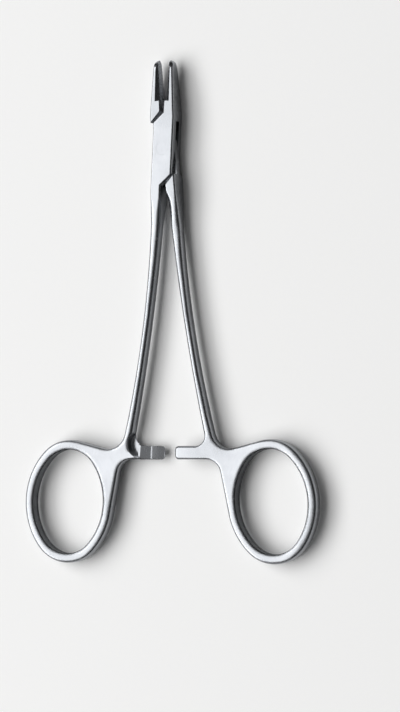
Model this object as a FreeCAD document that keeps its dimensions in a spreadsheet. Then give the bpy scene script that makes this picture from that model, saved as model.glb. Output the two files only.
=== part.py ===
import FreeCAD, Part

import math
import os

import Sketcher
from FreeCAD import Placement, Rotation, Vector

# A needle holder with a box lock: two forged halves cross in the lock and turn on one riveted pin.
# Each half is drawn as it lies with the jaws closed: the pivot axis is the Z axis, the jaw tips point
# to +Y and the middle of its depth is z = 0. It is then turned by half of the resting opening.
# A half's own u runs from the middle line towards its shank, so its jaw lies at negative u.

doc = FreeCAD.newDocument("needle_holder")

SIZES = [
    ("rest_opening", 7.5, "angle between the halves at rest, in degrees"),
    ("face_clearance", 0.02, "half of the gap between the closed halves"),
    ("tip_reach", 22.9, "pivot to the jaw tips"),
    ("tip_radius", 1.35, "rounding of a jaw tip seen from the front"),
    ("tip_nose", 0.8, "rounding of a jaw tip seen from the side"),
    ("taper_start", 8.5, "pivot to where a jaw's outer side begins to taper"),
    ("slope_start", 10.2, "pivot to where a jaw's front and rear begin to slope"),
    ("jaw_root_at", 12.3, "pivot to the foot of the serrations"),
    ("gripping_half", 1.3, "half depth of a gripping face at the foot of its serrations"),
    ("gripping_taper", 1.9, "lean of the bevels beside a gripping face towards the tip, in degrees"),
    ("jaw_end_length", 2.7, "length of a jaw's rounded end seen from the side"),
    ("jaw_end_half", 1.75, "half depth of a jaw where that end starts"),
    ("groove_pitch", 0.54, "distance between two serration grooves"),
    ("groove_width", 0.4, "width of a serration groove"),
    ("groove_depth", 0.19, "depth of a serration groove"),
    ("groove_angle", 43.0, "angle of the grooves to the jaw, in degrees"),
    ("box_half_width", 2.9, "half width of the box"),
    ("box_half_depth", 2.7, "half depth of the box"),
    ("box_end", 11.0, "pivot to the lower end of the box's flat faces"),
    ("shoulder_cross", 9.7, "pivot to where a shoulder meets the middle line"),
    ("shoulder_drop", 2.85, "height of a shoulder's slant"),
    ("shoulder_gap", 0.1, "gap between shoulder and cheek with the jaws closed"),
    ("tongue_half", 0.93, "half thickness of the tongue"),
    ("tongue_free", 1.8, "pivot to the corner on the tongue's free side"),
    ("slot_gap", 0.04, "gap between the tongue and a cheek"),
    ("slot_end_gap", 0.3, "gap past the shoulder line at the end of the slot"),
    ("pin_radius", 1.3, "radius of the pivot pin"),
    ("pin_running_gap", 0.03, "gap between pin and tongue"),
    ("pin_head_radius", 1.7, "radius of the pin's riveted end"),
    ("pin_head_depth", 0.4, "depth of the countersink that the end fills"),
    ("shank_straight", 22.0, "pivot to the end of a shank's straight outer side and of the ramp"),
    ("outer_bow", 290.0, "bow radius of a shank's outer side"),
    ("inner_bow", 560.0, "bow radius of a shank's inner side"),
    ("inner_from", 12.0, "pivot to the start of the inner bow"),
    ("inner_to", 70.0, "pivot to a point low on the inner side"),
    ("inner_out", 4.77, "middle line to that point"),
    ("limb_half_depth", 1.65, "half depth of the shank, the web and the ring"),
    ("limb_top", 12.6, "pivot to the upper end of a shank, inside the box"),
    ("ramp_sink", 0.15, "how far the ramp below the box runs in under the face of the shank"),
    ("ring_out", 23.06, "middle line to the ring's centre"),
    ("ring_down", 93.1, "pivot to the ring's centre"),
    ("ring_half_width", 10.4, "half width of the finger hole"),
    ("ring_half_height", 13.85, "half height of the finger hole"),
    ("ring_end_radius", 8.4, "radius of the hole's two ends"),
    ("ring_band", 2.2, "width of the band round the hole"),
    ("ring_lean", 1.25, "lean of the ring, in degrees"),
    ("web_dip", 78.7, "pivot to the bottom of the hollow between shank and ring"),
    ("web_outer_radius", 5.0, "radius of that hollow"),
    ("web_inner_radius", 4.1, "radius of the hollow under the tab"),
    ("web_inner_out", 5.1, "middle line to that hollow's centre"),
    ("tab_down", 78.7, "pivot to the ratchet tab's tip"),
    ("tab_past", 3.25, "length of the tab past the middle line"),
    ("tab_height", 3.5, "height of the tab"),
    ("tab_lean", 3.75, "rise of the tab towards its tip, in degrees"),
    ("tab_corner", 0.95, "rounding of the tab's corners"),
    ("tab_root_radius", 2.6, "radius between shank and tab"),
    ("crest_gap", 0.04, "half of the gap between the crests of the two ratchets"),
    ("tooth_first", 3.7, "tip of the tab to its first tooth"),
    ("tooth_pitch", 3.6, "distance between the teeth"),
    ("tooth_depth", 0.8, "depth of the notch before a tooth"),
    ("tooth_land", 0.55, "flat crest of a tooth"),
    ("recess_radius", 3.6, "radius of the recess's end wall"),
    ("recess_out", 6.6, "middle line to the recess's end wall"),
    ("recess_down", 76.9, "pivot to the centre of that wall"),
    ("box_rounding", 0.5, "rounding of the edges of box and jaw"),
    ("tip_rounding", 0.3, "rounding of the rim at the very tip of a jaw"),
    ("ramp_rounding", 1.0, "rounding of the edges at the foot of the ramp"),
    ("limb_rounding", 0.85, "rounding of the edges of shank, tab and ring"),
    ("rim_step", 30.0, "turn from each flat of a rounded rim to the next, in degrees"),
    ("spare", 2.0, "how far a cutter reaches past the metal"),
]

sheet = doc.addObject("Spreadsheet::Sheet", "Sizes")
for row, (alias, value, meaning) in enumerate(SIZES, 1):
    sheet.set(f"A{row}", meaning)
    sheet.set(f"B{row}", str(value))
    sheet.setAlias(f"B{row}", alias)
doc.recompute()


def size(alias):
    return float(getattr(sheet, alias))


def named(text):
    """An expression on the sheet: each alias in pointed brackets is read from it."""
    for word, _, _ in SIZES:
        text = text.replace(f"<{word}>", f"Sizes.{word}")
    return text


def value(expression):
    """The number that an expression on the sheet stands for."""
    return float(sheet.evalExpression(named(expression)))


def unit(v):
    return v * (1.0 / v.Length)


def left_of(v):
    return Vector(-v.y, v.x, 0)


def right_of(v):
    return Vector(v.y, -v.x, 0)


def heading(angle):
    return Vector(math.cos(angle), math.sin(angle), 0)


def angle_of(v):
    return math.atan2(v.y, v.x)


class Outline:
    """A closed run of lines and arcs in a sketch. Side -1 mirrors it."""

    def __init__(self, sketch, side=1):
        self.sketch = sketch
        self.side = side
        self.items = []
        self.smooth = []

    def place(self, p):
        return Vector(self.side * p.x, p.y, 0)

    def line(self, a, b, smooth=False):
        index = self.sketch.addGeometry(Part.LineSegment(self.place(a), self.place(b)), False)
        self.items.append((index, 1, 2))
        self.smooth.append(smooth)
        return index

    def arc(self, centre, a, b, ccw, smooth=True):
        c, p, q = self.place(centre), self.place(a), self.place(b)
        if self.side < 0:
            ccw = not ccw
        first, last = (p, q) if ccw else (q, p)
        start, end = angle_of(first - c), angle_of(last - c)
        if end < start:
            end += 2 * math.pi
        circle = Part.Circle(c, Vector(0, 0, 1), (p - c).Length)
        index = self.sketch.addGeometry(Part.ArcOfCircle(circle, start, end), False)
        self.items.append((index, 1, 2) if ccw else (index, 2, 1))
        self.smooth.append(smooth)
        return index

    def close(self):
        """Joins each element to the one before it, in line with it where it is marked smooth."""
        for i, (index, start, _) in enumerate(self.items):
            before, _, end = self.items[i - 1]
            kind = "Tangent" if self.smooth[i] else "Coincident"
            self.sketch.addConstraint(Sketcher.Constraint(kind, before, end, index, start))

    def bind(self, constraint, expression):
        index = self.sketch.addConstraint(constraint)
        self.sketch.setExpression(f"Constraints[{index}]", named(expression))

    def radius(self, index, expression):
        radius = self.sketch.Geometry[index].Radius
        self.bind(Sketcher.Constraint("Radius", index, radius), expression)

    def across(self, index, corner, expression):
        x = self.sketch.getPoint(index, corner).x
        sign = "-1 * " if self.side < 0 else ""
        self.bind(Sketcher.Constraint("DistanceX", -1, 1, index, corner, x), f"{sign}({expression})")

    def along(self, index, corner, expression):
        y = self.sketch.getPoint(index, corner).y
        self.bind(Sketcher.Constraint("DistanceY", -1, 1, index, corner, y), expression)

    def through(self, index, x, y):
        """Holds a curve to a point that is given by two expressions."""
        point = self.sketch.addGeometry(Part.Point(self.place(Vector(value(x), value(y), 0))), True)
        self.across(point, 1, x)
        self.along(point, 1, y)
        self.sketch.addConstraint(Sketcher.Constraint("PointOnObject", point, 1, index))


def lifted(height):
    return Placement(Vector(0, 0, height), Rotation())


def origin_plane(body, role):
    return next(o for o in body.Origin.OriginFeatures if o.Role == role)


def sketch_in(body, name, role, offset=None):
    sketch = body.newObject("Sketcher::SketchObject", name)
    sketch.AttachmentSupport = [(origin_plane(body, role), "")]
    sketch.MapMode = "FlatFace"
    if offset is not None:
        sketch.AttachmentOffset = offset
    return sketch


# The finger ring is an oval of four arcs. Its two side arcs have the radius that meets the ends smoothly.
SIDE_RADIUS = (
    "(<ring_half_width>^2 + (<ring_half_height> - <ring_end_radius>)^2 - <ring_end_radius>^2)"
    " / (2 * (<ring_half_width> - <ring_end_radius>))"
)
END_ACROSS = "<ring_out> {sign} sin(<ring_lean>) * (<ring_half_height> - <ring_end_radius>)"
END_ALONG = "-<ring_down> {sign} cos(<ring_lean>) * (<ring_half_height> - <ring_end_radius>)"


def ring_centres():
    """Centres of the oval's arcs: top end, bottom end, right side and left side, and the side radius."""
    lean = math.radians(size("ring_lean"))
    width, height, end = size("ring_half_width"), size("ring_half_height"), size("ring_end_radius")
    side_radius = (width**2 + (height - end) ** 2 - end**2) / (2 * (width - end))
    middle = Vector(size("ring_out"), -size("ring_down"), 0)
    up = Vector(-math.sin(lean), math.cos(lean), 0)
    out = Vector(math.cos(lean), math.sin(lean), 0)
    return (
        middle + up * (height - end),
        middle - up * (height - end),
        middle - out * (side_radius - width),
        middle + out * (side_radius - width),
        side_radius,
    )


def finger_hole(sketch, side, inset):
    """The oval finger hole, wider all round by the inset."""
    top, bottom, right, left, radius = ring_centres()
    radius += value(inset)
    corners = [
        right + unit(top - right) * radius,
        left + unit(top - left) * radius,
        left + unit(bottom - left) * radius,
        right + unit(bottom - right) * radius,
    ]
    oval = Outline(sketch, side)
    arcs = [
        oval.arc(centre, corners[i], corners[(i + 1) % 4], True)
        for i, centre in enumerate((top, left, bottom, right))
    ]
    oval.close()
    oval.radius(arcs[0], f"<ring_end_radius> + {inset}")
    oval.radius(arcs[2], f"<ring_end_radius> + {inset}")
    oval.radius(arcs[1], f"{SIDE_RADIUS} + {inset}")
    for arc, sign in ((arcs[0], "-"), (arcs[2], "+")):
        oval.across(arc, 3, END_ACROSS.format(sign=sign))
    oval.along(arcs[0], 3, END_ALONG.format(sign="+"))
    oval.along(arcs[2], 3, END_ALONG.format(sign="-"))


def inner_bow_centre():
    """Centre of the bow on a shank's inner side, which runs through two given points."""
    high = Vector(size("face_clearance"), -size("inner_from"), 0)
    low = Vector(size("inner_out"), -size("inner_to"), 0)
    depth = math.sqrt(size("inner_bow") ** 2 - ((low - high).Length / 2) ** 2)
    return (high + low) * 0.5 + left_of(unit(low - high)) * depth


def on_inner_bow(y, inset):
    """The point of a shank's inner side at a height, drawn in by an inset."""
    centre = inner_bow_centre()
    return Vector(centre.x - math.sqrt((size("inner_bow") - inset) ** 2 - (y - centre.y) ** 2), y, 0)


def hold_inner_bow(plan, arc, inset):
    plan.radius(arc, f"<inner_bow> - {inset}")
    if value(inset) == 0:
        plan.through(arc, "<inner_out>", "-<inner_to>")


def limb_outline(sketch, side, inset):
    """Plan of shank, web, tab and ring, drawn in on all sides by the inset."""
    gone = value(inset)
    width, bow, hollow = size("box_half_width"), size("outer_bow"), size("web_outer_radius")
    top, bottom, right, left, side_radius = ring_centres()
    end_radius = size("ring_end_radius") + size("ring_band")
    side_radius += size("ring_band")

    # centres of the outer side's bow and of the hollow between shank and ring
    bow_centre = Vector(width + bow, -size("shank_straight"), 0)
    hollow_y = hollow - size("web_dip")
    reach = math.sqrt((bow - hollow) ** 2 - (hollow_y - bow_centre.y) ** 2)
    hollow_centre = Vector(bow_centre.x - reach, hollow_y, 0)
    between = top - hollow_centre
    rise = heading(angle_of(between) + math.asin((hollow + end_radius) / between.Length))

    # centres of the ratchet tab's corners and of the hollow under it
    lean = math.radians(size("tab_lean"))
    out, up = Vector(-math.cos(lean), math.sin(lean), 0), Vector(math.sin(lean), math.cos(lean), 0)
    tip = Vector(-size("tab_past"), -size("tab_down"), 0)
    under, over = tip - up * (size("tab_height") / 2), tip + up * (size("tab_height") / 2)
    inner = size("web_inner_radius")
    back = (size("web_inner_out") + inner * up.x - under.x) / -out.x
    inner_centre = under - out * back - up * inner
    between = inner_centre - left
    climb = heading(angle_of(between) - math.asin((inner + side_radius) / between.Length))
    corner = size("tab_corner")
    lower_corner = under - out * corner + up * corner
    upper_corner = over - out * corner - up * corner

    # centre of the radius between the tab and the bow of the shank's inner side
    shank_bow, shank_centre = size("inner_bow"), inner_bow_centre()
    root = size("tab_root_radius")
    base = over + up * root
    offset = base - shank_centre
    half = out.dot(offset)
    spread = math.sqrt(half**2 - offset.dot(offset) + (shank_bow + root) ** 2)
    root_centre = base - out * (half - spread if half > spread else half + spread)

    # each arc's radius once the outline is drawn in: hollows widen and rounds shrink
    bow, hollow, inner, root = bow + gone, hollow + gone, inner + gone, root + gone
    end_radius, side_radius, corner = end_radius - gone, side_radius - gone, corner - gone
    high = -size("limb_top") - gone
    straight_end = Vector(width - gone, -size("shank_straight"), 0)
    hollow_start = bow_centre + unit(hollow_centre - bow_centre) * bow
    hollow_end = hollow_centre + right_of(rise) * hollow
    ring_start = top + left_of(rise) * end_radius
    upper_right = right + unit(top - right) * side_radius
    lower_right = right + unit(bottom - right) * side_radius
    lower_left = left + unit(bottom - left) * side_radius
    ring_end = left + left_of(climb) * side_radius
    inner_start = inner_centre + right_of(climb) * inner
    inner_end = inner_centre + up * inner
    root_end = shank_centre + unit(root_centre - shank_centre) * (shank_bow - gone)
    shank_top = on_inner_bow(high, gone)

    plan = Outline(sketch, side)
    lid = plan.line(shank_top, Vector(width - gone, high, 0))
    outer = plan.line(Vector(width - gone, high, 0), straight_end)
    outer_arc = plan.arc(bow_centre, straight_end, hollow_start, True)
    hollow_arc = plan.arc(hollow_centre, hollow_start, hollow_end, True)
    plan.line(hollow_end, ring_start, True)
    top_arc = plan.arc(top, ring_start, upper_right, False)
    right_arc = plan.arc(right, upper_right, lower_right, False)
    bottom_arc = plan.arc(bottom, lower_right, lower_left, False)
    left_arc = plan.arc(left, lower_left, ring_end, False)
    plan.line(ring_end, inner_start, True)
    inner_arc = plan.arc(inner_centre, inner_start, inner_end, True)
    plan.line(inner_end, lower_corner - up * corner, True)
    low_arc = plan.arc(lower_corner, lower_corner - up * corner, lower_corner + out * corner, False)
    plan.line(lower_corner + out * corner, upper_corner + out * corner, True)
    high_arc = plan.arc(upper_corner, upper_corner + out * corner, upper_corner + up * corner, False)
    plan.line(upper_corner + up * corner, root_centre - up * root, True)
    root_arc = plan.arc(root_centre, root_centre - up * root, root_end, True)
    bow_arc = plan.arc(shank_centre, root_end, shank_top, False)
    plan.close()

    plan.radius(outer_arc, f"<outer_bow> + {inset}")
    plan.radius(hollow_arc, f"<web_outer_radius> + {inset}")
    plan.radius(top_arc, f"<ring_end_radius> + <ring_band> - {inset}")
    plan.radius(bottom_arc, f"<ring_end_radius> + <ring_band> - {inset}")
    plan.radius(right_arc, f"{SIDE_RADIUS} + <ring_band> - {inset}")
    plan.radius(left_arc, f"{SIDE_RADIUS} + <ring_band> - {inset}")
    plan.radius(inner_arc, f"<web_inner_radius> + {inset}")
    plan.radius(low_arc, f"<tab_corner> - {inset}")
    plan.radius(high_arc, f"<tab_corner> - {inset}")
    plan.radius(root_arc, f"<tab_root_radius> + {inset}")
    hold_inner_bow(plan, bow_arc, inset)
    for arc, sign in ((top_arc, "-"), (bottom_arc, "+")):
        plan.across(arc, 3, END_ACROSS.format(sign=sign))
    plan.along(top_arc, 3, END_ALONG.format(sign="+"))
    plan.along(bottom_arc, 3, END_ALONG.format(sign="-"))
    plan.along(lid, 1, f"-<limb_top> - {inset}")
    plan.along(lid, 2, f"-<limb_top> - {inset}")
    plan.across(outer, 1, f"<box_half_width> - {inset}")
    plan.across(outer, 2, f"<box_half_width> - {inset}")
    plan.along(outer, 2, "-<shank_straight>")
    plan.along(hollow_arc, 3, "<web_outer_radius> - <web_dip>")
    plan.across(inner_arc, 3, "<web_inner_out>")


def box_outline(sketch, side, free_corner, cross):
    """Plan of box and jaw with the top of the shank. The outer side runs up to free_corner and slants from
    there to cross on the middle line, and the same slant turned by half a circle lies below the jaw."""
    gap, width, end = size("face_clearance"), size("box_half_width"), -size("shank_straight")
    tip_radius = size("tip_radius")
    tip_centre = Vector(-gap, size("tip_reach") - tip_radius, 0)
    taper_foot = Vector(-width, size("taper_start"), 0)
    to_foot = taper_foot - tip_centre
    turn = math.acos(tip_radius / to_foot.Length)
    taper_end = tip_centre + heading(angle_of(to_foot) - turn) * tip_radius
    tip_top = tip_centre + Vector(0, tip_radius, 0)
    shank_top = Vector(gap, -size("inner_from"), 0)

    plan = Outline(sketch, side)
    slant = plan.line(Vector(-gap, cross, 0), Vector(width, free_corner, 0))
    outer = plan.line(Vector(width, free_corner, 0), Vector(width, end, 0))
    floor = plan.line(Vector(width, end, 0), on_inner_bow(end, 0))
    bow_arc = plan.arc(inner_bow_centre(), on_inner_bow(end, 0), shank_top, False, False)
    crotch = plan.line(shank_top, Vector(gap, -cross, 0))
    plan.line(Vector(gap, -cross, 0), Vector(-width, -free_corner, 0))
    box_side = plan.line(Vector(-width, -free_corner, 0), taper_foot)
    plan.line(taper_foot, taper_end)
    tip_arc = plan.arc(tip_centre, taper_end, tip_top, False)
    plan.line(tip_top, Vector(-gap, cross, 0))
    plan.close()

    plan.radius(tip_arc, "<tip_radius>")
    hold_inner_bow(plan, bow_arc, "0")
    plan.along(floor, 2, "-<shank_straight>")
    plan.across(outer, 1, "<box_half_width>")
    plan.across(outer, 2, "<box_half_width>")
    plan.along(outer, 2, "-<shank_straight>")
    plan.across(slant, 1, "-<face_clearance>")
    plan.across(crotch, 1, "<face_clearance>")
    plan.across(crotch, 2, "<face_clearance>")
    plan.along(crotch, 1, "-<inner_from>")
    plan.across(box_side, 1, "-<box_half_width>")
    plan.across(box_side, 2, "-<box_half_width>")
    plan.along(box_side, 2, "<taper_start>")
    plan.across(tip_arc, 3, "-<face_clearance>")
    plan.along(tip_arc, 3, "<tip_reach> - <tip_radius>")


def polygon(sketch, points, side=1):
    """A closed run of straight lines. Each point is a pair of expressions on the sheet."""
    places = [Vector(value(x), value(y), 0) for x, y in points]
    run = Outline(sketch, side)
    for i, place in enumerate(places):
        run.line(place, places[(i + 1) % len(places)])
    run.close()
    for i, (x, y) in enumerate(points):
        run.across(i, 1, x)
        run.along(i, 1, y)


def ramp_profile(sketch):
    """What is cut off above the ramp, seen from the side: y runs across the sketch and z up it."""
    above = "<box_half_depth> + <spare>"
    past = "-<shank_straight> - <spare>"
    low = "<limb_half_depth> - <ramp_sink>"
    polygon(
        sketch,
        [
            ("-<box_end>", "<box_half_depth>"),
            ("-<box_end>", above),
            (past, above),
            (past, low),
            ("-<shank_straight>", low),
        ],
    )


def jaw_profile(sketch):
    """What is cut off above the jaw, seen from the side: a straight slope from the box and a rounded end."""
    above, beyond = size("box_half_depth") + size("spare"), size("tip_reach") + size("spare")
    foot = Vector(size("slope_start"), size("box_half_depth"), 0)
    turn = Vector(size("tip_reach") - size("jaw_end_length"), size("jaw_end_half"), 0)
    normal = left_of(unit(turn - foot))
    nose = size("tip_nose")
    nose_centre = Vector(size("tip_reach") - nose, 0, 0)
    span = nose_centre - turn
    end = (nose**2 - span.dot(span)) / (2 * (span.dot(normal) + nose))
    end_centre = turn - normal * end
    nose_start = nose_centre + unit(nose_centre - end_centre) * nose
    apex = Vector(size("tip_reach"), 0, 0)
    cut = Outline(sketch)
    slope = cut.line(foot, turn)
    cut.arc(end_centre, turn, nose_start, False)
    nose_arc = cut.arc(nose_centre, nose_start, apex, False)
    floor = cut.line(apex, Vector(beyond, 0, 0))
    far = cut.line(Vector(beyond, 0, 0), Vector(beyond, above, 0))
    cut.line(Vector(beyond, above, 0), Vector(foot.x, above, 0))
    near = cut.line(Vector(foot.x, above, 0), foot)
    cut.close()
    cut.radius(nose_arc, "<tip_nose>")
    cut.across(slope, 1, "<slope_start>")
    cut.along(slope, 1, "<box_half_depth>")
    cut.across(slope, 2, "<tip_reach> - <jaw_end_length>")
    cut.along(slope, 2, "<jaw_end_half>")
    cut.across(nose_arc, 3, "<tip_reach> - <tip_nose>")
    cut.along(nose_arc, 3, "0")
    cut.along(floor, 1, "0")
    cut.along(floor, 2, "0")
    cut.across(far, 2, "<tip_reach> + <spare>")
    cut.along(far, 2, "<box_half_depth> + <spare>")
    cut.across(near, 1, "<slope_start>")


def pad(body, name, sketch, half):
    feature = body.newObject("PartDesign::Pad", name)
    feature.Profile = sketch
    feature.Midplane = True
    feature.setExpression("Length", named(f"2 * ({half})"))
    return feature


def pocket(body, name, sketch, length, midplane=True, reverse=False):
    feature = body.newObject("PartDesign::Pocket", name)
    feature.Profile = sketch
    feature.Midplane = midplane
    feature.Reversed = reverse
    feature.Refine = False
    feature.setExpression("Length", named(length))
    return feature


# Each rim of a limb is rounded in two flats that touch a round of limb_rounding. It starts RIM_START from
# the corner and breaks from the first flat to the second at RIM_BREAK from both faces.
RIM_START = "(<limb_rounding> * (1 - tan(<rim_step> / 2)))"
RIM_BREAK = "(<limb_rounding> * (1 - cos(45) / cos(<rim_step> / 2)))"


def limb(name, side):
    """Shank, web, tab and ring in one depth, with rounded rims front and rear."""
    body = doc.addObject("PartDesign::Body", name)
    plan = sketch_in(body, name + "_plan", "XY_Plane")
    limb_outline(plan, side, "0")
    finger_hole(plan, side, "0")
    pad(body, name + "_middle", plan, f"<limb_half_depth> - {RIM_START}")
    flats = []
    for letter, inset, start, depth, turns in (
        ("a", "0", RIM_START, f"{RIM_START} - {RIM_BREAK}", 1),
        ("b", RIM_BREAK, RIM_BREAK, RIM_BREAK, 2),
    ):
        height = f"<limb_half_depth> - {start}"
        level = sketch_in(body, f"{name}_rim_{letter}_plan", "XY_Plane", lifted(value(height)))
        level.setExpression("AttachmentOffset.Base.z", named(height))
        limb_outline(level, side, inset)
        finger_hole(level, side, inset)
        flat = body.newObject("PartDesign::Pad", f"{name}_rim_{letter}")
        flat.Profile = level
        flat.setExpression("Length", named(depth))
        flat.setExpression("TaperAngle", named(f"-{turns} * <rim_step>"))
        flats.append(flat)
    mirrored = body.newObject("PartDesign::Mirrored", name + "_rear_rims")
    mirrored.Originals = flats
    mirrored.MirrorPlane = (origin_plane(body, "XY_Plane"), [""])
    mirrored.Refine = True
    body.Tip = mirrored
    return body


def box_and_jaw(name, side, free_corner, cross):
    """Box, jaw and ramp of a half before their edges are rounded."""
    body = doc.addObject("PartDesign::Body", name)
    plan = sketch_in(body, name + "_plan", "XY_Plane")
    box_outline(plan, side, free_corner, cross)
    pad(body, name + "_pad", plan, "<box_half_depth>")
    for part, draw in (("ramp", ramp_profile), ("jaw", jaw_profile)):
        profile = sketch_in(body, f"{name}_{part}_profile", "YZ_Plane")
        draw(profile)
        cut = pocket(body, f"{name}_{part}_cut", profile, "4 * <box_half_width>")
        mirrored = body.newObject("PartDesign::Mirrored", f"{name}_{part}_mirror")
        mirrored.Originals = [cut]
        mirrored.MirrorPlane = (origin_plane(body, "XY_Plane"), [""])
        mirrored.Refine = True
        body.Tip = mirrored
    return body


# Limits for telling the rims from the other edges: the lean of an upright and of a flat face, and how near
# a point is to a face that it counts as on.
UPRIGHT, FLAT, NEAR = 0.02, 0.1, 0.01


def is_rim(shape, edge, side):
    """Whether an edge lies between an upright side and the front or rear of a half, off its gripping face."""
    middle = edge.valueAt((edge.FirstParameter + edge.LastParameter) / 2)
    faces = shape.ancestorsOfType(edge, Part.Face)
    tilts = sorted(abs(f.normalAt(*f.Surface.parameter(middle)).z) for f in faces)
    upright, flat = tilts[0] < UPRIGHT, tilts[-1] > FLAT
    gripping = middle.y > size("taper_start") and abs(middle.x + side * size("face_clearance")) < NEAR
    return len(faces) == 2 and upright and flat and not gripping


def rim_radius(point):
    """Even round box and jaw, fuller down the ramp and tighter towards the end of the tip."""
    if point.y < -size("inner_from") - NEAR:
        return size("ramp_rounding")
    part = min(1.0, (size("tip_reach") - point.y) / size("jaw_end_length"))
    return size("tip_rounding") + (size("box_rounding") - size("tip_rounding")) * part


def rounded(name, body, side):
    """Box and jaw with their rims rounded."""
    doc.recompute()
    shape = body.Shape
    feature = doc.addObject("Part::Fillet", name)
    feature.Base = body
    feature.Edges = [
        (number, rim_radius(edge.valueAt(edge.FirstParameter)), rim_radius(edge.valueAt(edge.LastParameter)))
        for number, edge in enumerate(shape.Edges, 1)
        if is_rim(shape, edge, side)
    ]
    return feature


# Half width of a cutter across the box, and the slope of a shoulder.
WIDE = "(<box_half_width> + <spare>)"
SLANT = "(<shoulder_drop> / <box_half_width>)"


def cut_tongue(body):
    """Takes the male half down to the tongue between its two slanted shoulders, front and rear."""
    sketch = sketch_in(body, "male_cheek_room_plan", "XY_Plane", lifted(size("tongue_half")))
    sketch.setExpression("AttachmentOffset.Base.z", named("<tongue_half>"))
    polygon(
        sketch,
        [
            (f"-1 * {WIDE}", f"<shoulder_cross> - {WIDE} * {SLANT}"),
            (WIDE, f"<shoulder_cross> + {WIDE} * {SLANT}"),
            (WIDE, f"-<shoulder_cross> + {WIDE} * {SLANT}"),
            (f"-1 * {WIDE}", f"-<shoulder_cross> - {WIDE} * {SLANT}"),
        ],
    )
    room = pocket(body, "male_cheek_room", sketch, "<box_half_depth>", False, True)
    mirrored = body.newObject("PartDesign::Mirrored", "male_cheek_room_rear")
    mirrored.Originals = [room]
    mirrored.MirrorPlane = (origin_plane(body, "XY_Plane"), [""])
    mirrored.Refine = False
    body.Tip = mirrored


def cut_slot(body):
    """The slot in the box. Both its ends slant as the shoulders do, a little further out."""
    sketch = sketch_in(body, "female_slot_plan", "XY_Plane")
    cross = "(<shoulder_cross> + <slot_end_gap>)"
    polygon(
        sketch,
        [
            (f"-1 * {WIDE}", f"-1 * {cross} + {WIDE} * {SLANT}"),
            ("0", f"-1 * {cross}"),
            (WIDE, f"-1 * {cross}"),
            (WIDE, f"{cross} - {WIDE} * {SLANT}"),
            ("0", cross),
            (f"-1 * {WIDE}", cross),
        ],
    )
    pocket(body, "female_slot", sketch, "2 * (<tongue_half> + <slot_gap>)")


def pin_profile(sketch):
    """Half section of the riveted pin: a shank with a cone at each end, flush with the cheeks."""
    polygon(
        sketch,
        [
            ("0", "-<box_half_depth>"),
            ("<pin_head_radius>", "-<box_half_depth>"),
            ("<pin_radius>", "<pin_head_depth> - <box_half_depth>"),
            ("<pin_radius>", "<box_half_depth> - <pin_head_depth>"),
            ("<pin_head_radius>", "<box_half_depth>"),
            ("0", "<box_half_depth>"),
        ],
    )


def cut_pin_seat(body):
    sketch = sketch_in(body, "female_pin_seat_profile", "XZ_Plane")
    pin_profile(sketch)
    seat = body.newObject("PartDesign::Groove", "female_pin_seat")
    seat.Profile = sketch
    seat.ReferenceAxis = (sketch, ["V_Axis"])
    seat.Angle = 360
    seat.Refine = False


def cut_bore(body):
    sketch = sketch_in(body, "male_bore_plan", "XY_Plane")
    radius = size("pin_radius") + size("pin_running_gap")
    circle = sketch.addGeometry(Part.Circle(Vector(), Vector(0, 0, 1), radius), False)
    sketch.addConstraint(Sketcher.Constraint("Coincident", circle, 3, -1, 1))
    index = sketch.addConstraint(Sketcher.Constraint("Radius", circle, radius))
    sketch.setExpression(f"Constraints[{index}]", named("<pin_radius> + <pin_running_gap>"))
    pocket(body, "male_bore", sketch, "4 * <tongue_half>")


def recess_room(sketch, side, straight_at):
    """The recess seen from the front: an arc for its end wall and a straight side at straight_at."""
    radius = size("recess_radius")
    centre = Vector(size("recess_out") - radius, -size("recess_down"), 0)
    edge = value(straight_at)
    start = max(edge, centre.x)
    half = math.sqrt(radius**2 - (start - centre.x) ** 2)
    low, high = Vector(start, centre.y - half, 0), Vector(start, centre.y + half, 0)
    room = Outline(sketch, side)
    arc = room.arc(centre, low, high, True, False)
    if edge < centre.x:
        room.line(high, Vector(edge, high.y, 0))
        straight = room.line(Vector(edge, high.y, 0), Vector(edge, low.y, 0))
        room.line(Vector(edge, low.y, 0), low)
    else:
        straight = room.line(high, low)
    room.close()
    room.radius(arc, "<recess_radius>")
    room.across(arc, 3, "<recess_out> - <recess_radius>")
    room.along(arc, 3, "-<recess_down>")
    room.across(straight, 1, straight_at)


def cut_bevels(body, name, side):
    """Bevels the jaw down to its gripping face, front and rear, from the serrations' foot to the tip."""
    foot = Placement(Vector(0, 0, -size("jaw_root_at")), Rotation(Vector(1, 0, 0), -size("gripping_taper")))
    sketch = sketch_in(body, name + "_bevel_profile", "XZ_Plane", foot)
    sketch.setExpression("AttachmentOffset.Base.z", named("-<jaw_root_at>"))
    polygon(
        sketch,
        [
            ("<spare> - <face_clearance>", "<gripping_half> - <spare>"),
            ("-<spare> - <face_clearance>", "<gripping_half> + <spare>"),
            ("<spare> - <face_clearance>", "<gripping_half> + <spare>"),
        ],
        side,
    )
    bevel = pocket(body, name + "_bevel", sketch, "<tip_reach>", False)
    mirrored = body.newObject("PartDesign::Mirrored", name + "_rear_bevel")
    mirrored.Originals = [bevel]
    mirrored.MirrorPlane = (origin_plane(body, "XY_Plane"), [""])
    mirrored.Refine = False
    body.Tip = mirrored


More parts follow.
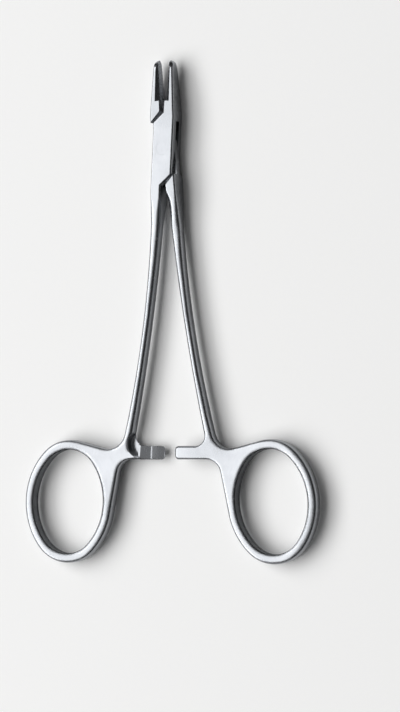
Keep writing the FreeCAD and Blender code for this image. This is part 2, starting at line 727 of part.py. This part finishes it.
def cut_ratchet(body, name, side):
    """Halves the tab's depth and cuts its teeth. The female teeth face the front, the male teeth the rear."""
    crest = "<crest_gap>" if side > 0 else "-1 * <crest_gap>"
    toward = "-1" if side > 0 else "1"
    tooth = "(<tooth_first> - <tab_past>)"
    last = f"({tooth} + <tooth_pitch>)"
    beyond = "-1 * (<tab_past> + <spare>)"
    recess = sketch_in(body, name + "_recess_plan", "XY_Plane", lifted(value(crest)))
    recess.setExpression("AttachmentOffset.Base.z", named(crest))
    recess_room(recess, side, beyond)
    pocket(body, name + "_recess", recess, "<box_half_depth>", False, side < 0)
    root = sketch_in(body, name + "_root_notch_plan", "XY_Plane", lifted(value(crest)))
    root.setExpression("AttachmentOffset.Base.z", named(crest))
    recess_room(root, side, last)
    pocket(body, name + "_root_notch", root, "<tooth_depth>", False, side > 0)
    notch = sketch_in(body, name + "_notch_profile", "XZ_Plane", lifted(size("tab_down")))
    notch.setExpression("AttachmentOffset.Base.z", named("<tab_down>"))
    deep = f"{crest} - {toward} * <tooth_depth>"
    polygon(
        notch,
        [
            (beyond, f"{crest} + {toward} * <spare>"),
            (beyond, deep),
            (f"{tooth} - <tooth_pitch>", deep),
            (f"{tooth} - <tooth_land>", crest),
            (tooth, crest),
            (tooth, deep),
            (f"{last} - <tooth_land>", crest),
            (f"{last} - <tooth_land>", f"{crest} + {toward} * <spare>"),
        ],
        side,
    )
    pocket(body, name + "_notch", notch, "2 * <tab_height>")


def serration_cutter(name, side):
    """Two crossing rows of V grooves in the gripping face, from the foot of the serrations to the tip."""
    pitch, depth, width = size("groove_pitch"), size("groove_depth"), size("groove_width")
    foot, tip = size("jaw_root_at"), size("tip_reach")
    face = -side * size("face_clearance")
    rows = []
    for letter, turn in (("a", 1), ("b", -1)):
        angle = math.radians(size("groove_angle")) * turn
        along = Vector(0, math.cos(angle), math.sin(angle))
        across = Vector(0, -math.sin(angle), math.cos(angle))
        normal = along.cross(across)
        middle = Vector(face, (foot + tip) / 2, 0)
        comb = doc.addObject("Sketcher::SketchObject", f"{name}_groove_row_{letter}")
        comb.Placement = Placement(middle, Rotation(across, normal, along, "ZXY"))
        into_jaw = -side * normal.x
        reach = (tip - foot) / 2 * abs(math.sin(angle)) + size("gripping_half") * math.cos(angle)
        count = int(reach / pitch)
        for step in range(-count, count + 1):
            row = Outline(comb)
            at = step * pitch
            corners = [
                Vector(at - width / 2, 0, 0),
                Vector(at - width / 2, -into_jaw * depth, 0),
                Vector(at + width / 2, -into_jaw * depth, 0),
                Vector(at + width / 2, 0, 0),
                Vector(at, into_jaw * depth, 0),
            ]
            for i, corner in enumerate(corners):
                row.line(corner, corners[(i + 1) % len(corners)])
            row.close()
        prism = doc.addObject("Part::Extrusion", f"{name}_grooves_{letter}")
        prism.Base = comb
        prism.DirMode = "Normal"
        prism.LengthFwd = 2 * (tip - foot)
        prism.Symmetric = True
        prism.Solid = True
        rows.append(prism)
    return rows


def finished(name, machined_body, side, turn):
    """The half with its serrations cut, turned about the pivot to its resting place."""
    rows = serration_cutter(name, side)
    zone = doc.addObject("Part::Box", name + "_gripping_zone")
    zone.setExpression("Length", named("2 * <box_half_width>"))
    zone.setExpression("Width", named("<tip_reach> - <jaw_root_at> + <spare>"))
    zone.setExpression("Height", named("2 * <box_half_depth>"))
    zone.setExpression("Placement.Base.x", named("-<box_half_width>"))
    zone.setExpression("Placement.Base.y", named("<jaw_root_at>"))
    zone.setExpression("Placement.Base.z", named("-<box_half_depth>"))
    half = machined_body
    for grooves, letter in zip(rows, "ab"):
        kept = doc.addObject("Part::Common", f"{name}_kept_grooves_{letter}")
        kept.Base = grooves
        kept.Tool = zone
        cut = doc.addObject("Part::Cut", name if letter == "b" else name + "_first_grooves")
        cut.Base = half
        cut.Tool = kept
        cut.Refine = False
        half = cut
    half.Placement = Placement(Vector(0, 0, size("box_half_depth")), Rotation(Vector(0, 0, 1), turn))
    return half


def riveted_pin(name):
    body = doc.addObject("PartDesign::Body", name)
    sketch = sketch_in(body, name + "_profile", "XZ_Plane")
    pin_profile(sketch)
    turned = body.newObject("PartDesign::Revolution", name + "_turning")
    turned.Profile = sketch
    turned.ReferenceAxis = (sketch, ["V_Axis"])
    turned.Angle = 360
    body.Placement = Placement(Vector(0, 0, size("box_half_depth")), Rotation())
    return body


def machined(name, side, free_corner, cross):
    """A half with its box and limb joined and its rims rounded, ready for the lock and the teeth."""
    whole = doc.addObject("Part::Fuse", name + "_joined")
    whole.Base = rounded(name + "_rounded_box", box_and_jaw(name + "_box", side, free_corner, cross), side)
    whole.Tool = limb(name + "_limb", side)
    whole.Refine = True
    body = doc.addObject("PartDesign::Body", name + "_machined")
    body.BaseFeature = whole
    return body


cheek_cross = size("shoulder_cross") - size("shoulder_gap")
female_body = machined("female", -1, cheek_cross - size("shoulder_drop"), cheek_cross)
cut_slot(female_body)
cut_pin_seat(female_body)
cut_bevels(female_body, "female", -1)
cut_ratchet(female_body, "female", -1)
male_body = machined("male", 1, size("tongue_free"), size("shoulder_cross"))
cut_tongue(male_body)
cut_bore(male_body)
cut_bevels(male_body, "male", 1)
cut_ratchet(male_body, "male", 1)

nodes = [
    finished("female_half", female_body, -1, -size("rest_opening") / 2),
    finished("male_half", male_body, 1, size("rest_opening") / 2),
    riveted_pin("pivot_pin"),
]
doc.recompute()

for item in doc.Objects:
    if "Invalid" in item.State or "Error" in item.State:
        raise RuntimeError(f"{item.Name} failed: {item.State}")
for node in nodes:
    if node.Shape.isNull() or not node.Shape.isValid():
        raise RuntimeError(f"{node.Name} has no valid shape")

os.makedirs("parts", exist_ok=True)
for node in nodes:
    node.Label = node.Name
    node.Shape.exportStep(f"parts/{node.Label}.step")
    print(node.Label, len(node.Shape.Solids), round(node.Shape.Volume, 1), node.Shape.BoundBox)
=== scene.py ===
import math

import bpy
from bpy.props import FloatProperty, FloatVectorProperty, PointerProperty
from bpy.types import Operator, Panel, PropertyGroup
from mathutils import Matrix, Vector


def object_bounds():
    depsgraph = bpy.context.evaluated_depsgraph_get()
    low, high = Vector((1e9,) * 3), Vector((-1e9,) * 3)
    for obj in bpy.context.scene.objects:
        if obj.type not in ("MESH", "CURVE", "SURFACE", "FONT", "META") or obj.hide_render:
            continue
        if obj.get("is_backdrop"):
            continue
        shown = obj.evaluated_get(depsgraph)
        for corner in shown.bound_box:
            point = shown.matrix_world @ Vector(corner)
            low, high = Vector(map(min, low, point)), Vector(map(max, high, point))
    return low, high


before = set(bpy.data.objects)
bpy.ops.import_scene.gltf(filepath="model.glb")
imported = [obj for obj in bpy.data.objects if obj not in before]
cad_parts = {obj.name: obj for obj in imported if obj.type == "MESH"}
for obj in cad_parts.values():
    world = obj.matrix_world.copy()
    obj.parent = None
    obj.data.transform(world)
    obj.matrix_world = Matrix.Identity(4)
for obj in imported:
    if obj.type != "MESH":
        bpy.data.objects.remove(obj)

bl_info = {
    "name": "Needle holder",
    "version": (1, 0, 0),
    "blender": (4, 5, 0),
    "location": "3D View > Sidebar > Needle holder",
    "description": "Satin steel finish, stage and camera for a needle holder with a box lock",
    "category": "Object",
}


# Two corners of a piece that lie nearer than this are one.
WELD = 0.0000005
# How strongly large faces set the shading of the corners they share, where 50 is neutral.
LARGE_FACE_WEIGHT = 80

# At rest each half is turned by this about the pivot.
# The places that follow are measured before that turn, from the pivot.
REST_TURN = math.radians(3.75)
# Down the shank, buffing begins where the box ends and is full at the end of the ramp.
BOX_END = 0.011
RAMP_END = 0.016
# The middle of a finger ring's hole and its half sizes.
RING_OUT, RING_DOWN = 0.02306, 0.0931
HOLE_HALF_WIDTH, HOLE_HALF_HEIGHT = 0.0104, 0.01385
# From here down, polishing lines turn from straight to round, over the length of the fade.
RING_FROM = 0.079
RING_FADE = 0.004
# The flat ratchet tab: its top and foot, how far out it reaches, and the fade at its borders.
TAB_FROM, TAB_TO = 0.0745, 0.0812
TAB_REACH = 0.0068
TAB_FADE = 0.001

# A polishing line is this many times as long as it is wide, and a hair scratch this many.
GRAIN_STRETCH = 28.0
SCRATCH_STRETCH = 50.0
SCRATCH_TURN = 0.35
# Noise scales, in cells per metre.
CLOUD_SCALE = 90.0
WAVE_SCALE = 120.0
SCRATCH_SCALE = 1400.0
PAPER_SCALE = 900.0
# Strength of each relief and its depth in metres.
WAVE_RELIEF = (0.6, 0.0003)
SCRATCH_RELIEF = (0.10, 0.00001)
GRAIN_RELIEF = (0.16, 0.00001)

# Each softbox: its name, the setting with its brightness, its lean to the left and its width,
# both in degrees.
SOFTBOXES = (
    ("face softbox", "face_light", 27.0, 30.0),
    ("side softbox", "side_light", 53.0, 20.0),
    ("top softbox", "top_light", -2.0, 26.0),
)
FLOOR_SIZE = 12.0
SENSOR_WIDTH = 36.0
CLIP_NEAR, CLIP_FAR = 0.05, 50.0

# Sockets of a colour Mix node, which share their names and so go by number.
MIX_FACTOR, MIX_FIRST, MIX_SECOND, MIX_RESULT = 0, 6, 7, 2


class SteelSettings(PropertyGroup):
    """Colour and polish of the stainless steel."""

    colour: FloatVectorProperty(
        name="Steel colour",
        description="Colour of the polished steel",
        subtype="COLOR",
        size=3,
        min=0.0,
        max=1.0,
        default=(0.335, 0.345, 0.362),
    )
    clouded: FloatVectorProperty(
        name="Clouded colour",
        description="Colour where handling has dulled the polish",
        subtype="COLOR",
        size=3,
        min=0.0,
        max=1.0,
        default=(0.285, 0.295, 0.312),
    )
    roughness: FloatProperty(
        name="Polish",
        description="Roughness of the satin polish, less is glossier",
        subtype="FACTOR",
        min=0.02,
        max=1.0,
        default=0.22,
    )
    grain: FloatProperty(
        name="Grain",
        description="Spacing of the polishing lines that run along the shanks",
        unit="LENGTH",
        min=0.00002,
        max=0.002,
        default=0.00012,
    )
    edge: FloatProperty(
        name="Edge break",
        description="Radius of the tiny round on every sharp edge",
        unit="LENGTH",
        min=0.0,
        max=0.0005,
        default=0.00008,
    )
    pin_edge: FloatProperty(
        name="Pin edge",
        description="Radius of the round on the pin, which is ground flush",
        unit="LENGTH",
        min=0.0,
        max=0.0005,
        default=0.00002,
    )
    roundness: FloatProperty(
        name="Roundness",
        description="Radius to which shanks and rings are buffed round",
        unit="LENGTH",
        min=0.0,
        max=0.002,
        default=0.0013,
    )
    flat: FloatProperty(
        name="Sharp from",
        description="Faces that meet at more than this angle meet in a sharp edge",
        subtype="ANGLE",
        default=math.radians(36.0),
    )


class StageSettings(PropertyGroup):
    """Floor, lamps and camera."""

    floor_colour: FloatVectorProperty(
        name="Floor colour",
        description="Colour of the plain pale floor",
        subtype="COLOR",
        size=3,
        min=0.0,
        max=1.0,
        default=(0.95, 0.95, 0.945),
    )
    sky: FloatProperty(
        name="Room light",
        description="Strength of the even light from the room",
        min=0.0,
        max=2.0,
        default=0.05,
    )
    face_light: FloatProperty(
        name="Face light",
        description="Brightness of the softbox that the faces mirror, where 1 is white paper",
        min=0.0,
        default=2.0,
    )
    side_light: FloatProperty(
        name="Side light",
        description="Brightness of the low softbox on the left, where 1 is white paper",
        min=0.0,
        default=3.9,
    )
    top_light: FloatProperty(
        name="Top light",
        description="Brightness of the weak softbox above, which fades the face light out",
        min=0.0,
        default=0.25,
    )
    light_distance: FloatProperty(
        name="Softbox distance",
        description="From the instrument to the softboxes",
        unit="LENGTH",
        default=3.0,
    )
    light_length: FloatProperty(
        name="Softbox length",
        description="Angle that a softbox takes up along the instrument",
        subtype="ANGLE",
        default=math.radians(78.0),
    )
    turn: FloatProperty(
        name="Camera turn",
        description="How far the camera stands to the right of straight above",
        subtype="ANGLE",
        default=math.radians(25.0),
    )
    roll: FloatProperty(
        name="Camera roll",
        description="Turn of the picture about the line of sight",
        subtype="ANGLE",
        default=math.radians(0.73),
    )
    distance: FloatProperty(
        name="Camera distance",
        description="From the camera to the middle of the picture",
        unit="LENGTH",
        min=0.2,
        default=1.2,
    )
    field: FloatProperty(
        name="Picture height",
        description="Height of what the camera takes in at the instrument",
        unit="LENGTH",
        min=0.05,
        default=0.1844,
    )
    aim_right: FloatProperty(
        name="Aim to the right",
        description="From the pivot to the middle of the picture, across it",
        unit="LENGTH",
        default=0.0087,
    )
    aim_up: FloatProperty(
        name="Aim up",
        description="From the pivot to the middle of the picture, along it",
        unit="LENGTH",
        default=-0.0537,
    )


def steel():
    """The settings of the steel."""
    return bpy.context.scene.needle_steel


def stage():
    """The settings of floor, lamps and camera."""
    return bpy.context.scene.needle_stage


class Nodes:
    """Builds a material's node tree from its output backwards."""

    def __init__(self, name):
        self.material = bpy.data.materials.new(name)
        self.material.use_nodes = True
        self.tree = self.material.node_tree
        self.tree.nodes.clear()
        self.output = self.tree.nodes.new("ShaderNodeOutputMaterial")

    def add(self, kind, **values):
        """A new shader node of a kind, with its values set."""
        node = self.tree.nodes.new("ShaderNode" + kind)
        for name, value in values.items():
            setattr(node, name, value)
        return node

    def link(self, source, target):
        self.tree.links.new(source, target)

    def place(self, scale=(1.0, 1.0, 1.0), turn=0.0, centre=(0.0, 0.0, 0.0)):
        """Object coordinates from a centre, turned back by an angle and then divided by a scale."""
        texture = self.add("TexCoord")
        mapping = self.add("Mapping", vector_type="TEXTURE")
        mapping.inputs["Location"].default_value = centre
        mapping.inputs["Rotation"].default_value = (0.0, 0.0, turn)
        mapping.inputs["Scale"].default_value = scale
        self.link(texture.outputs["Object"], mapping.inputs["Vector"])
        return mapping.outputs["Vector"]

    def parts(self, vector):
        """The three parts of a vector."""
        split = self.add("SeparateXYZ")
        self.link(vector, split.inputs["Vector"])
        return split.outputs["X"], split.outputs["Y"], split.outputs["Z"]

    def vector(self, *parts):
        """A vector from three parts."""
        joined = self.add("CombineXYZ")
        for part, socket in zip(parts, joined.inputs):
            self.link(part, socket)
        return joined.outputs["Vector"]

    def math(self, operation, *values):
        """A sum on numbers and sockets. A float goes in as a number, anything else is linked."""
        node = self.add("Math", operation=operation)
        for value, socket in zip(values, node.inputs):
            if isinstance(value, float):
                socket.default_value = value
            else:
                self.link(value, socket)
        return node.outputs["Value"]

    def mix(self, factor, first, second):
        """Goes from the first value to the second as the factor goes from 0 to 1."""
        gap = self.math("SUBTRACT", second, first)
        return self.math("ADD", first, self.math("MULTIPLY", gap, factor))

    def noise(self, vector, scale, detail, rough):
        """Even noise at a vector."""
        noise = self.add("TexNoise")
        noise.inputs["Scale"].default_value = scale
        noise.inputs["Detail"].default_value = detail
        noise.inputs["Roughness"].default_value = rough
        self.link(vector, noise.inputs["Vector"])
        return noise.outputs["Fac"]

    def span(self, value, low, high, to_low, to_high):
        """Carries a value from one range into another and holds it at the ends."""
        span = self.add("MapRange")
        ends = {"From Min": low, "From Max": high, "To Min": to_low, "To Max": to_high}
        for name, number in ends.items():
            span.inputs[name].default_value = number
        self.link(value, span.inputs["Value"])
        return span.outputs["Result"]

    def blend(self, factor, first, second):
        """Goes from the first colour to the second as the factor goes from 0 to 1."""
        mix = self.add("Mix", data_type="RGBA")
        mix.inputs[MIX_FIRST].default_value = (*first, 1.0)
        mix.inputs[MIX_SECOND].default_value = (*second, 1.0)
        self.link(factor, mix.inputs[MIX_FACTOR])
        return mix.outputs[MIX_RESULT]

    def bump(self, height, strength, distance, under):
        """Adds relief on top of the normal under it."""
        bump = self.add("Bump")
        bump.inputs["Strength"].default_value = strength
        bump.inputs["Distance"].default_value = distance
        self.link(height, bump.inputs["Height"])
        self.link(under, bump.inputs["Normal"])
        return bump.outputs["Normal"]


def buffed(nodes, side):
    """How far a place is buffed round: fully on shank and ring, not on box, jaw and ratchet tab."""
    u, v, _ = nodes.parts(nodes.place(turn=side * REST_TURN))
    limb = nodes.span(v, -RAMP_END, -BOX_END, 1.0, 0.0)
    below = nodes.span(v, -TAB_FROM - TAB_FADE, -TAB_FROM, 1.0, 0.0)
    above = nodes.span(v, -TAB_TO, -TAB_TO + TAB_FADE, 0.0, 1.0)
    outward = nodes.math("MULTIPLY", u, float(side))
    near = nodes.span(outward, TAB_REACH - TAB_FADE, TAB_REACH, 1.0, 0.0)
    tab = nodes.math("MULTIPLY", nodes.math("MULTIPLY", below, above), near)
    return nodes.math("MULTIPLY", limb, nodes.math("SUBTRACT", 1.0, tab))


def brushed(nodes, side):
    """Polishing lines: along jaw, box and shank, and round and round on the finger ring."""
    turn = side * REST_TURN
    lines = 1.0 / steel().grain
    along = nodes.noise(nodes.place((1.0, GRAIN_STRETCH, 1.0), turn), lines, 3.0, 0.6)
    centre = Vector((side * RING_OUT, -RING_DOWN, 0.0))
    centre.rotate(Matrix.Rotation(turn, 3, "Z"))
    oval = nodes.place((HOLE_HALF_WIDTH, HOLE_HALF_HEIGHT, 1.0), turn, centre)
    x, y, z = nodes.parts(oval)
    squares = nodes.math("ADD", nodes.math("POWER", x, 2.0), nodes.math("POWER", y, 2.0))
    across = nodes.math("MULTIPLY", nodes.math("SQRT", squares), HOLE_HALF_HEIGHT)
    angle = nodes.math("MULTIPLY", nodes.math("ARCTAN2", y, x), HOLE_HALF_HEIGHT / GRAIN_STRETCH)
    around = nodes.noise(nodes.vector(across, angle, z), lines, 3.0, 0.6)
    _, v, _ = nodes.parts(nodes.place(turn=turn))
    ring = nodes.span(v, -RING_FROM - RING_FADE, -RING_FROM, 1.0, 0.0)
    return nodes.mix(ring, along, around)


def satin_steel(name, side, edge):
    """Forged steel with a satin polish: fine lines, clouds from handling, a few hair scratches."""
    settings = steel()
    nodes = Nodes(name)
    turn = side * REST_TURN
    streaks = brushed(nodes, side)
    clouds = nodes.noise(nodes.place(), CLOUD_SCALE, 4.0, 0.5)
    slanted = nodes.place((1.0, SCRATCH_STRETCH, 1.0), turn + SCRATCH_TURN)
    scratches = nodes.noise(slanted, SCRATCH_SCALE, 2.0, 0.5)
    shader = nodes.add("BsdfPrincipled")
    shader.inputs["Metallic"].default_value = 1.0
    dulled = nodes.span(clouds, 0.35, 0.75, 0.0, 1.0)
    tint = nodes.blend(dulled, tuple(settings.colour), tuple(settings.clouded))
    nodes.link(tint, shader.inputs["Base Color"])
    soft = nodes.math("ADD", clouds, nodes.span(streaks, 0.3, 0.7, -0.12, 0.12))
    polish = nodes.span(soft, 0.3, 0.7, settings.roughness * 0.75, settings.roughness * 1.4)
    nodes.link(polish, shader.inputs["Roughness"])
    round_off = nodes.add("Bevel", samples=8)
    nodes.link(nodes.mix(buffed(nodes, side), edge, settings.roundness), round_off.inputs["Radius"])
    wave = nodes.noise(nodes.place((1.0, 1.6, 1.0), turn), WAVE_SCALE, 1.0, 0.4)
    worked = nodes.bump(wave, *WAVE_RELIEF, round_off.outputs["Normal"])
    hair = nodes.span(scratches, 0.70, 0.78, 1.0, 0.0)
    scratched = nodes.bump(hair, *SCRATCH_RELIEF, worked)
    grained = nodes.bump(streaks, *GRAIN_RELIEF, scratched)
    nodes.link(grained, shader.inputs["Normal"])
    nodes.link(shader.outputs["BSDF"], nodes.output.inputs["Surface"])
    return nodes.material


def smooth_group():
    """Joins a piece's facets and keeps an edge sharp only where its faces meet at a clear angle."""
    group = bpy.data.node_groups.new("Round rims", "GeometryNodeTree")
    group.interface.new_socket("Geometry", in_out="INPUT", socket_type="NodeSocketGeometry")
    group.interface.new_socket("Geometry", in_out="OUTPUT", socket_type="NodeSocketGeometry")
    add, link = group.nodes.new, group.links.new
    given, made = add("NodeGroupInput"), add("NodeGroupOutput")
    merge = add("GeometryNodeMergeByDistance")
    merge.inputs["Distance"].default_value = WELD
    angle = add("GeometryNodeInputMeshEdgeAngle")
    smooth = add("FunctionNodeCompare")
    smooth.operation = "LESS_THAN"
    smooth.inputs[1].default_value = steel().flat
    faces, edges = add("GeometryNodeSetShadeSmooth"), add("GeometryNodeSetShadeSmooth")
    faces.domain, edges.domain = "FACE", "EDGE"
    link(given.outputs["Geometry"], merge.inputs["Geometry"])
    link(merge.outputs["Geometry"], faces.inputs["Geometry"])
    link(faces.outputs["Geometry"], edges.inputs["Geometry"])
    link(angle.outputs["Unsigned Angle"], smooth.inputs[0])
    link(smooth.outputs["Result"], edges.inputs["Shade Smooth"])
    link(edges.outputs["Geometry"], made.inputs["Geometry"])
    return group


def round_rims(piece):
    """Lets the rims shade round while the flats stay flat."""
    rims = piece.modifiers.new("Round rims", "NODES")
    rims.node_group = bpy.data.node_groups.get("Round rims") or smooth_group()
    even = piece.modifiers.new("Even shading", "WEIGHTED_NORMAL")
    even.keep_sharp = True
    even.weight = LARGE_FACE_WEIGHT


def dress(piece, material):
    """Puts a material in every slot of a piece."""
    for slot in piece.material_slots:
        slot.material = material


class NEEDLE_OT_halves(Operator):
    """Gives the two crossing halves their polished steel"""

    bl_idname = "needle.halves"
    bl_label = "Finish the halves"

    def execute(self, context):
        for name, side in (("female_half", -1), ("male_half", 1)):
            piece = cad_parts[name]
            label = "satin steel, " + name.replace("_", " ")
            dress(piece, satin_steel(label, side, steel().edge))
            round_rims(piece)
        return {"FINISHED"}


class NEEDLE_OT_pin(Operator):
    """Gives the riveted pin its steel, ground flush with the cheeks"""

    bl_idname = "needle.pin"
    bl_label = "Finish the pin"

    def execute(self, context):
        ground = satin_steel("ground steel, pin", -1, steel().pin_edge)
        dress(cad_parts["pivot_pin"], ground)
        return {"FINISHED"}


def pale_floor():
    """Plain matt paper with a faint tooth."""
    settings = stage()
    nodes = Nodes("pale paper floor")
    tooth = nodes.noise(nodes.place(), PAPER_SCALE, 3.0, 0.6)
    shader = nodes.add("BsdfPrincipled")
    shader.inputs["Roughness"].default_value = 0.9
    shader.inputs["Specular IOR Level"].default_value = 0.2
    shade = tuple(c * 0.985 for c in settings.floor_colour)
    nodes.link(nodes.blend(tooth, tuple(settings.floor_colour), shade), shader.inputs["Base Color"])
    nodes.link(shader.outputs["BSDF"], nodes.output.inputs["Surface"])
    return nodes.material


def softbox(name, brightness, size, lean, distance, target):
    """An even rectangle of light that leans to the left.

    Its watts follow from its size and brightness.
    """
    light = bpy.data.lights.new(name, "AREA")
    light.shape = "RECTANGLE"
    light.size, light.size_y = size
    light.energy = 4.0 * size[0] * size[1] * brightness
    holder = bpy.data.objects.new(name, light)
    bpy.context.scene.collection.objects.link(holder)
    back = Vector((-math.sin(lean), 0.0, math.cos(lean)))
    right = Vector((math.cos(lean), 0.0, math.sin(lean)))
    up = Vector((0.0, 1.0, 0.0))
    axes = Matrix((right, up, back)).transposed().to_4x4()
    holder.matrix_world = Matrix.Translation(target + back * distance) @ axes
    holder.visible_camera = False


def camera():
    """Looks down on the instrument from the right of straight above, as the drawing shows it."""
    settings = stage()
    data = bpy.data.cameras.new("Drawing view")
    data.sensor_width = SENSOR_WIDTH
    data.lens = SENSOR_WIDTH * settings.distance / settings.field
    data.clip_start, data.clip_end = CLIP_NEAR, CLIP_FAR
    view = bpy.data.objects.new("Drawing view", data)
    bpy.context.scene.collection.objects.link(view)
    turn, roll = settings.turn, settings.roll
    back = Vector((math.sin(turn), 0.0, math.cos(turn)))
    level = Vector((math.cos(turn), 0.0, -math.sin(turn)))
    upright = Vector((0.0, 1.0, 0.0))
    right = level * math.cos(roll) - upright * math.sin(roll)
    up = level * math.sin(roll) + upright * math.cos(roll)
    low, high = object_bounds()
    pivot = Vector((0.0, 0.0, (low.z + high.z) / 2.0))
    place = pivot + right * settings.aim_right + up * settings.aim_up + back * settings.distance
    view.matrix_world = Matrix.Translation(place) @ Matrix((right, up, back)).transposed().to_4x4()
    bpy.context.scene.camera = view


class NEEDLE_OT_stage(Operator):
    """Lays the floor, hangs the lamps and sets the camera"""

    bl_idname = "needle.stage"
    bl_label = "Set the stage"

    def execute(self, context):
        settings = stage()
        bpy.ops.mesh.primitive_plane_add(size=FLOOR_SIZE, location=(0.0, 0.0, 0.0))
        floor = context.object
        floor.name = "floor"
        floor.data.materials.append(pale_floor())
        floor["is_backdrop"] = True
        low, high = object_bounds()
        target = (low + high) / 2.0
        away = settings.light_distance
        length = 2.0 * away * math.tan(settings.light_length / 2.0)
        for name, setting, lean, spread in SOFTBOXES:
            brightness = getattr(settings, setting)
            width = 2.0 * away * math.tan(math.radians(spread) / 2.0)
            softbox(name, brightness, (width, length), math.radians(lean), away, target)
        world = bpy.data.worlds.new("room")
        world.use_nodes = True
        background = world.node_tree.nodes["Background"]
        background.inputs["Color"].default_value = (1.0, 1.0, 1.0, 1.0)
        background.inputs["Strength"].default_value = settings.sky
        context.scene.world = world
        context.scene.view_settings.view_transform = "Standard"
        camera()
        return {"FINISHED"}


class NEEDLE_PT_panel(Panel):
    """Steps and settings of the needle holder"""

    bl_idname = "NEEDLE_PT_panel"
    bl_label = "Needle holder"
    bl_space_type = "VIEW_3D"
    bl_region_type = "UI"
    bl_category = "Needle holder"

    def draw(self, context):
        layout = self.layout
        for step in OPERATORS:
            layout.operator(step.bl_idname)
        for group in (steel(), stage()):
            box = layout.box()
            for name in group.bl_rna.properties.keys():
                if name not in ("rna_type", "name"):
                    box.prop(group, name)


OPERATORS = (NEEDLE_OT_halves, NEEDLE_OT_pin, NEEDLE_OT_stage)
CLASSES = (SteelSettings, StageSettings, *OPERATORS, NEEDLE_PT_panel)


def register():
    """Adds the settings, steps and panel to Blender."""
    for item in CLASSES:
        bpy.utils.register_class(item)
    bpy.types.Scene.needle_steel = PointerProperty(type=SteelSettings)
    bpy.types.Scene.needle_stage = PointerProperty(type=StageSettings)


def unregister():
    """Takes them out again."""
    del bpy.types.Scene.needle_stage
    del bpy.types.Scene.needle_steel
    for item in reversed(CLASSES):
        bpy.utils.unregister_class(item)


def main():
    """Runs every step."""
    register()
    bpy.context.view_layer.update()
    bpy.ops.needle.halves()
    bpy.ops.needle.pin()
    bpy.ops.needle.stage()


if __name__ == "__main__":
    main()
